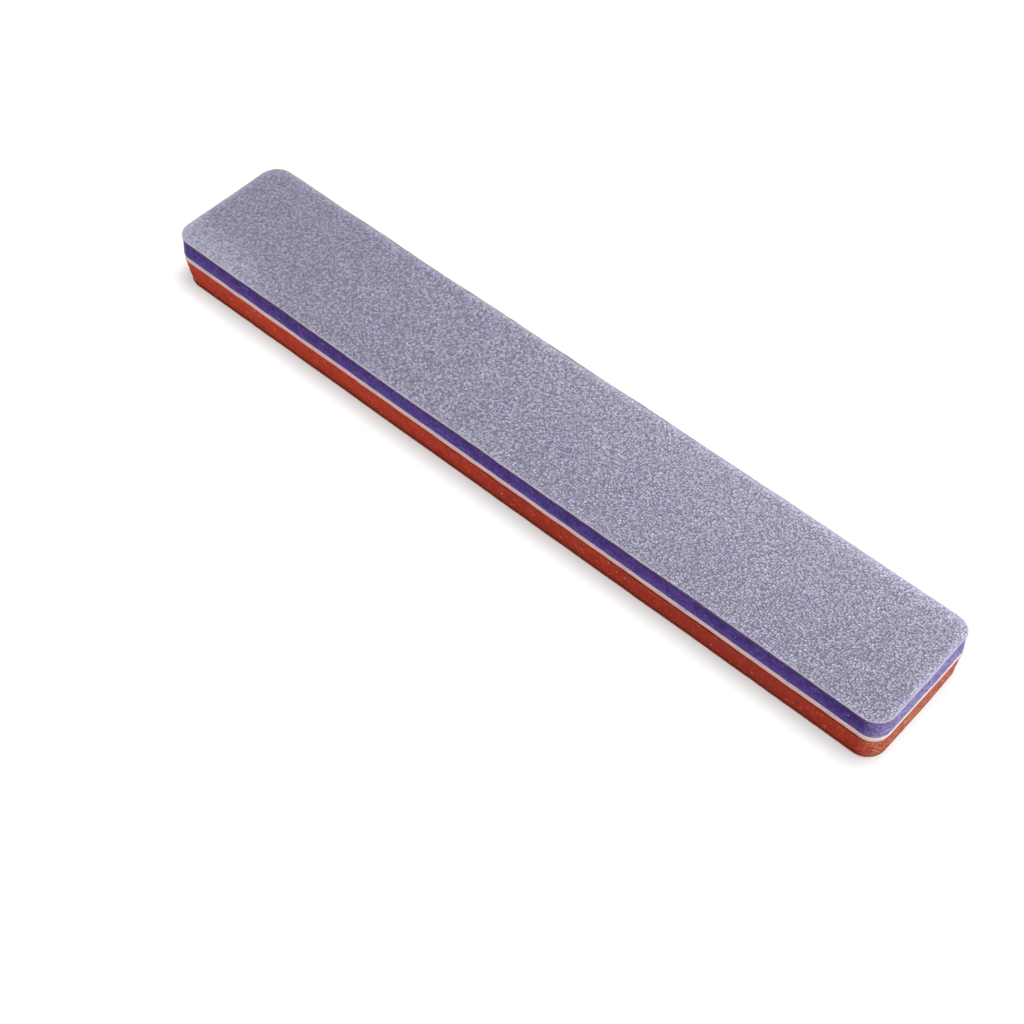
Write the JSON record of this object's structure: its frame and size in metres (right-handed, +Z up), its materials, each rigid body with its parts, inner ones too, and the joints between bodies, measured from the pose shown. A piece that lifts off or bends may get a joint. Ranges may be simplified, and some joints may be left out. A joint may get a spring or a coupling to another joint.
{
  "type": "nail buffer sponge",
  "caption": "Reversible nail filing board: a stiff core strip between firm foam pads, each faced with a coated abrasive sheet, violet above and orange below.",
  "frame": {"origin": "middle of the orange face, on which the board rests", "axes": "+X along the board, +Y across it, +Z up through the layers to the violet face"},
  "size_m": [0.178, 0.029, 0.0113],
  "materials": {
    "orange_grit": "matte mineral grain in resin",
    "orange_paper": "matte, dyed through, cut edge",
    "orange_foam": "matte closed-cell foam, knife-cut",
    "core_plastic": "satin, sheared edge",
    "violet_foam": "matte closed-cell foam, knife-cut",
    "violet_paper": "matte, dyed through, cut edge",
    "violet_grit": "matte mineral grain in resin",
    "adhesive": "clear, slightly yellowed"
  },
  "bodies": {
    "core": {"core_strip": "core_plastic", "orange_core_adhesive": "adhesive", "violet_core_adhesive": "adhesive", "orange_foam": "orange_foam", "violet_foam": "violet_foam"},
    "orange_face": {"orange_sheet_adhesive": "adhesive", "orange_backing": "orange_paper", "orange_grit_coat": "orange_grit"},
    "violet_face": {"violet_sheet_adhesive": "adhesive", "violet_backing": "violet_paper", "violet_grit_coat": "violet_grit"}
  },
  "joints": [
    {"name": "violet_face_press", "type": "slide", "parent": "core", "child": "violet_face", "axis": [0, 0, -1], "range_m": [0, 0.00045], "stiffness_N_per_m": 20000, "deforming": ["violet_foam"]},
    {"name": "orange_face_press", "type": "slide", "parent": "core", "child": "orange_face", "axis": [0, 0, 1], "range_m": [0, 0.0006], "stiffness_N_per_m": 15000, "deforming": ["orange_foam"]}
  ]
}
